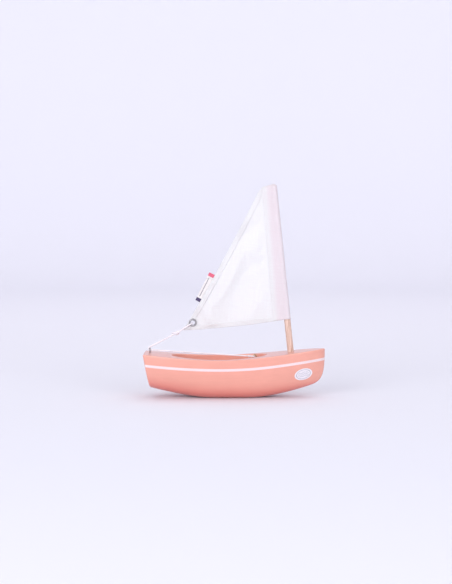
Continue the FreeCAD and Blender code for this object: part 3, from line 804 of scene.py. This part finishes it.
def build_foot_hem(material):
    """The folded strip along the foot, turned up to starboard and tucked in under the leech hem."""
    columns = 110
    fold = LAYER / 2
    start = SEAM_FOOT - 0.5 * MM
    end = CLEW - (HEM_LEECH + 0.3 * MM) / math.cos(LEECH_LEAN)
    rows = []
    for i in range(16):
        row = []
        for j in range(columns + 1):
            reach = lerp(start, end, j / columns)
            base = FOOT - foot_drop(reach)
            if i < 6:
                angle = math.pi * i / 6
                height = base - fold * math.sin(angle)
                out = -fold + fold * math.cos(angle)
            else:
                height = base + HEM_FOOT * (i - 6) / 9
                out = -LAYER
                reach -= (height - base) * math.tan(LEECH_LEAN) * (j / columns) ** 8
            row.append(at(*clear_of_hole(reach, height), out + belly(reach, height))[:])
        rows.append(row)
    return mesh_object("sail_foot_hem", *sheet(np.array(rows), CLOTH * 0.94), material)


# ---------------------------------------------------------------- thread

def stitch_row(points, out_side, surface):
    """Lockstitches along places on the sail: each a short thread that dips into the cloth at its ends."""
    parts = []
    path = np.array(points)
    distance = np.concatenate([[0], np.cumsum(np.linalg.norm(np.diff(path, axis=0), axis=1))])
    position = STITCH_GAP
    while position + STITCH < distance[-1]:
        length = STITCH * rng.uniform(0.94, 1.05)
        wobble = rng.uniform(-0.05, 0.05) * MM
        curve = []
        for step in range(7):
            share = step / 6
            along = position + length * share
            reach = np.interp(along, distance, path[:, 0]) + wobble
            height = np.interp(along, distance, path[:, 1]) + wobble
            arch = THREAD * 0.7 * math.sin(math.pi * share)
            dip = THREAD * 0.9 * (abs(share - 0.5) * 2) ** 4
            curve.append(on_sail(reach, height, out_side * (surface + arch - dip))[:])
        parts.append(tube(curve, lambda d, a: THREAD, 6))
        position += STITCH + STITCH_GAP
    return parts


def build_stitches(material):
    """The sewing of the sleeve, both hems and the head, each seen on both faces of the sail."""
    skin = CLOTH / 2
    outer = LAYER + CLOTH / 2
    seam = []
    leech = []
    for i in range(60):
        height = lerp(FOOT + 1.5 * MM, PINCH_HEIGHT, i / 59)
        seam.append((seam_reach(height) + 0.6 * MM, height))
    inset = (HEM_LEECH - 0.9 * MM) / math.cos(LEECH_LEAN)
    for i in range(60):
        height = lerp(FOOT + 11.4 * MM, LEECH_HEAD_HEIGHT - 4 * MM, i / 59)
        leech.append((leech_reach(height) - inset, height))
    foot = []
    for i in range(60):
        reach = lerp(SEAM_FOOT + 2 * MM, CLEW - 14.5 * MM, i / 59)
        foot.append((reach, FOOT - foot_drop(reach) + HEM_FOOT - 0.7 * MM))
    head = []
    for i in range(10):
        reach = lerp(-2.0 * MM, SEAM_HEAD + 0.4 * MM, i / 9)
        head.append((reach, HEAD - head_drop(reach) - 1.0 * MM))
    made = []
    for name, line, starboard, port in (("stitches_luff", seam, outer, skin),
                                        ("stitches_leech", leech, outer, skin),
                                        ("stitches_foot", foot, outer, skin),
                                        ("stitches_head", head, LAYER * 1.35, LAYER)):
        parts = stitch_row(line, -1, starboard) + stitch_row(line, 1, port)
        made.append(mesh_object(name, *merge(parts), material))
    return made


# ---------------------------------------------------------------- ribbon tab

def tab_frame():
    """Middle of the tab on the leech, the way down it and the way square to it, as (reach, height)."""
    lean = LEECH_LEAN - TAB_TURN
    down = Vector((math.sin(lean), -math.cos(lean)))
    outward = Vector((math.cos(lean), math.sin(lean)))
    return Vector((leech_reach(TAB_HEIGHT), TAB_HEIGHT)), down, outward


def build_tab(material):
    """The woven ribbon, folded double with its fold outboard, sewn to the port face behind the leech."""
    middle, down, outward = tab_frame()
    fold = RIBBON * 0.55
    profile = [(lerp(-TAB_OVERLAP, TAB_OUTBOARD - fold, k / 14), TAB_PORT) for k in range(15)]
    for k in range(1, 6):
        angle = math.pi * k / 6
        across = TAB_OUTBOARD - fold + fold * math.sin(angle)
        profile.append((across, TAB_PORT + fold - fold * math.cos(angle)))
    profile += [(lerp(TAB_OUTBOARD - fold, -TAB_OVERLAP, k / 14), TAB_PORT + 2 * fold) for k in range(15)]
    rows = []
    steps = 50
    for i in range(steps + 1):
        share = 2 * i / steps - 1
        lengthwise = TAB_LENGTH / 2 * share
        curl = 0.30 * MM * math.sin(share * 2.2) - 0.25 * MM * share * share
        row = []
        for across, out in profile:
            place = middle + down * lengthwise + outward * across
            bend = curl * smooth(across / TAB_OUTBOARD)
            inboard = min(place.x, leech_reach(place.y) - 0.3 * MM)
            row.append(at(place.x, place.y, out + bend + belly(inboard, place.y))[:])
        rows.append(row)
    return mesh_object("ribbon_tab", *sheet(np.array(rows), RIBBON), material)


def tab_seam(inset):
    """A line of places along the sewn edge of the tab."""
    middle, down, outward = tab_frame()
    line = []
    for i in range(30):
        lengthwise = lerp(-TAB_LENGTH / 2 + 0.8 * MM, TAB_LENGTH / 2 - 0.8 * MM, i / 29)
        place = middle + down * lengthwise - outward * inset
        line.append((place.x, place.y))
    return line


# ---------------------------------------------------------------- cord

def braid_radius(distance, angle):
    """Surface of a round braid: two sets of strands winding opposite ways."""
    one = math.cos(STRANDS / 2 * (angle + 2 * math.pi * distance / BRAID))
    other = math.cos(STRANDS / 2 * (angle - 2 * math.pi * distance / BRAID))
    return CORD * (0.90 + 0.10 * max(one, other))


def braided(paths):
    return merge([tube(resample(path, BRAID_SPACING), braid_radius, BRAID_SIDES) for path in paths])


def arc_points(centre, a, b, start, end, radius, steps=16):
    """Points on an arc in the plane of the unit vectors a and b."""
    points = []
    for step in range(steps + 1):
        angle = lerp(start, end, step / steps)
        points.append(centre + (a * math.cos(angle) + b * math.sin(angle)) * radius)
    return points


def knot_coil(centre, way):
    """A stopper knot: the cord wound round the standing part, with its short end left out."""
    a = way.cross(PORT).normalized()
    b = way.cross(a)
    points = []
    steps = int(KNOT_TURNS * 20)
    for step in range(steps + 1):
        share = step / steps
        angle = 2 * math.pi * KNOT_TURNS * share
        swell = KNOT_RADIUS * (0.90 + 0.16 * math.sin(math.pi * share))
        middle = centre + way * KNOT_PITCH * KNOT_TURNS * (share - 0.5)
        points.append(middle + (a * math.cos(angle) + b * math.sin(angle)) * swell)
    tangent = (points[-1] - points[-2]).normalized()
    end = points[-1]
    for step in range(1, 9):
        share = step / 8
        droop = HIGH * -KNOT_TAIL * 0.35 * share * share
        points.append(end + (tangent * 0.75 + way * 0.35) * KNOT_TAIL * share + droop)
    return points


def whipping(centre):
    """Thread wound tightly round the cord where its end is bound to itself, along the boat."""
    points = []
    steps = WHIPPING_TURNS * 20
    radius = CORD + 0.22 * MM
    for step in range(steps + 1):
        angle = 2 * math.pi * WHIPPING_TURNS * step / steps
        along = WHIPPING_THREAD * 1.9 * WHIPPING_TURNS * (step / steps - 0.5)
        points.append(centre + Vector((along, radius * 1.12 * math.cos(angle), radius * math.sin(angle))))
    return tube(resample(points, 0.15 * MM), lambda distance, angle: WHIPPING_THREAD, 8)


def build_fore_cord(eye, hook, turn_radius, leave_angle, material):
    """The leg from the hook over the cockpit to the stern eye, and its turn round the eye's wire."""
    bound = hook - FORE * END_REACH
    under = eye - HIGH * turn_radius
    turn = arc_points(eye, FORE, HIGH, math.radians(-90), leave_angle - 2 * math.pi, turn_radius)
    spread = PORT * 0.35 * MM
    parting = bound + FORE * 0.6 * MM
    round_hook = arc_points(hook, -FORE, PORT, math.radians(-62), math.radians(-298), turn_radius)
    loop = [bound, parting - spread] + round_hook + [parting + spread, bound]
    cord = braided([[bound, under] + turn, loop])
    return mesh_object("sheet_cord_fore", *merge([cord, whipping(bound - FORE * 0.3 * MM)]), material)


def build_aft_cord(start, end, material):
    """The straight leg from the stern eye to the clew's knot, in sixty short sections."""
    straight = [start + (end - start) * (k / 60) for k in range(61)]
    return mesh_object("sheet_cord_aft", *braided([straight]), material)


def build_clew_cord(knot, material):
    """The loop through the eyelet, and the knot that closes it."""
    eyelet = at(*EYELET)
    pull = (knot - eyelet).normalized()
    centre = eyelet + pull * CLEW_LOOP_CENTRE
    bend = arc_points(centre, pull, PORT, math.radians(90), math.radians(270), CLEW_LOOP_RADIUS, 24)
    near = knot - pull * 1.2 * MM
    spread = PORT * 0.45 * MM
    legs = [near + spread] + bend + [near - spread]
    return mesh_object("sheet_cord_clew", *braided([legs, knot_coil(knot, pull)]), material)


def build_cords(material):
    """The sheet cord in its three pieces, and a place near each end of the aft one."""
    eye_low, eye_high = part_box("stern_eye")
    wire = (eye_high[0] - eye_low[0]) / 2 - SHANK_THREAD
    eye = Vector(((eye_low[0] + eye_high[0]) / 2, 0, eye_high[2] - wire))
    hook_low, hook_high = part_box("sheet_hook")
    hook = Vector((hook_low[0] + SHANK_RADIUS, 0, hook_high[2] - HOOK_DROP))
    knot = at(CLEW_KNOT_REACH, CLEW_KNOT_HEIGHT)
    turn_radius = wire + CORD + CORD_GAP
    way = (knot - eye).normalized()
    square = Vector((-way.z, 0, way.x))
    leave = eye + square * turn_radius
    fore = build_fore_cord(eye, hook, turn_radius, math.atan2(square.z, square.x), material)
    aft = build_aft_cord(leave, knot - way * 1.0 * MM, material)
    clew = build_clew_cord(knot, material)
    return fore, aft, clew, leave, knot - way * 2.0 * MM


# ---------------------------------------------------------------- build

CORAL = (0.70, 0.312, 0.242)
WHITE_PAINT = (0.73, 0.59, 0.60)

coral_paint = paint("coral_paint", CORAL, 0.36)
line_paint = paint("white_line_paint", WHITE_PAINT, 0.34)
wood = beech("beech")
nickel = metal("nickel_plate", (0.40, 0.385, 0.39), 0.30)
brass = metal("brass", (0.50, 0.33, 0.20), 0.30)
cloth_material = cotton("cotton_cloth", (0.815, 0.820, 0.820), (0.790, 0.765, 0.775))
thread_material = soft_fibre("sewing_thread", (0.86, 0.80, 0.82), 0.7)
cord_material = soft_fibre("cord_fibre", (0.78, 0.745, 0.785))

for node, material in (("hull", coral_paint), ("stripe_port", line_paint), ("stripe_starboard", line_paint),
                       ("bow_sticker", printed_sticker("printed_sticker")), ("mast", wood),
                       ("stern_eye", nickel), ("eyelet_barrel", nickel), ("eyelet_washer", nickel),
                       ("sheet_hook", brass)):
    nodes[node].data.materials.clear()
    nodes[node].data.materials.append(material)

sail_cloth = build_sail(cloth_material)
foot_hem = build_foot_hem(cloth_material)
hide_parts("sail")
for piece in (sail_cloth, foot_hem, *build_stitches(thread_material)):
    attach(piece, "sail")

tab = build_tab(ribbon("woven_ribbon"))
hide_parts("leech_tab")
tab_line = tab_seam(TAB_OVERLAP - 0.8 * MM)
tab_faces = stitch_row(tab_line, -1, LAYER + CLOTH / 2) + stitch_row(tab_line, 1, TAB_PORT + RIBBON * 1.6)
tab_stitches = mesh_object("stitches_tab", *merge(tab_faces), thread_material)
for piece in (tab, tab_stitches):
    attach(piece, "sail")

cord_fore, cord_aft, cord_clew, cord_start, cord_end = build_cords(cord_material)
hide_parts("sheet_fore_leg")
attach(cord_fore, "hull")
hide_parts("sheet_aft_leg")
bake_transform(cord_aft)
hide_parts("sheet_clew_loop")
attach(cord_clew, "sail")


# ---------------------------------------------------------------- studio

def studio_floor():
    """A wide floor that curves up into a low wall all round."""
    flat = 1.9
    bend = 0.9
    profile = [(0.0, 0.0), (0.6, 0.0), (1.2, 0.0), (flat, 0.0)]
    for step in range(1, 13):
        angle = math.pi / 2 * step / 12
        profile.append((flat + bend * math.sin(angle), bend - bend * math.cos(angle)))
    profile.append((flat + bend, 2 * bend))
    sides = 96
    vertices = []
    for radius, height in profile:
        for k in range(sides):
            angle = 2 * math.pi * k / sides
            vertices.append((radius * math.cos(angle), radius * math.sin(angle), height))
    faces = []
    for i in range(len(profile) - 1):
        for k in range(sides):
            a, b = i * sides + k, i * sides + (k + 1) % sides
            faces.append((a, b, b + sides, a + sides))
    paper = plain_surface("studio_paper", (0.752, 0.758, 0.820), 0.9)
    mesh_object("studio_floor", vertices, faces, paper)


def softbox(name, place, aim, size, power, colour=(1, 1, 1)):
    """A large rectangular lamp at a place, turned to its aim."""
    light = bpy.data.lights.new(name, "AREA")
    light.shape = "RECTANGLE"
    light.size, light.size_y = size
    light.energy = power
    light.color = colour
    lamp = bpy.data.objects.new(name, light)
    lamp.location = place
    lamp.rotation_euler = (Vector(aim) - Vector(place)).to_track_quat("-Z", "Y").to_euler()
    bpy.context.scene.collection.objects.link(lamp)


def studio_lights():
    softbox("overhead", (0.0, 0.1, 1.7), (0, 0, 0), (2.2, 1.8), 7.7, (1.0, 0.94, 0.92))
    softbox("front_left", (-1.3, -1.9, 0.75), (0, 0, 0.1), (1.6, 1.0), 32.0)
    softbox("front_right", (1.4, -1.8, 0.7), (0, 0, 0.1), (1.4, 1.0), 20.0)
    softbox("backdrop", (0.0, 0.9, 1.9), (0, 3.0, 0.5), (3.0, 0.8), 16.0, (1.0, 0.94, 0.95))
    world = bpy.data.worlds.new("studio_air")
    world.use_nodes = True
    air = world.node_tree.nodes["Background"]
    air.inputs["Color"].default_value = (0.93, 0.92, 1.0, 1.0)
    air.inputs["Strength"].default_value = 0.68
    bpy.context.scene.world = world


def studio_camera():
    camera = bpy.data.cameras.new("camera")
    camera.lens = 78.2
    camera.sensor_width = 36.0
    camera.clip_start = 0.01
    holder = bpy.data.objects.new("camera", camera)
    aim = Vector((-0.0075, 0, 0.0998))
    holder.location = (-0.0075, -1.2, 0.167)
    holder.rotation_euler = (aim - holder.location).to_track_quat("-Z", "Y").to_euler()
    bpy.context.scene.collection.objects.link(holder)
    bpy.context.scene.camera = holder
    bpy.context.scene.view_settings.view_transform = "Standard"


studio_floor()
studio_lights()
studio_camera()
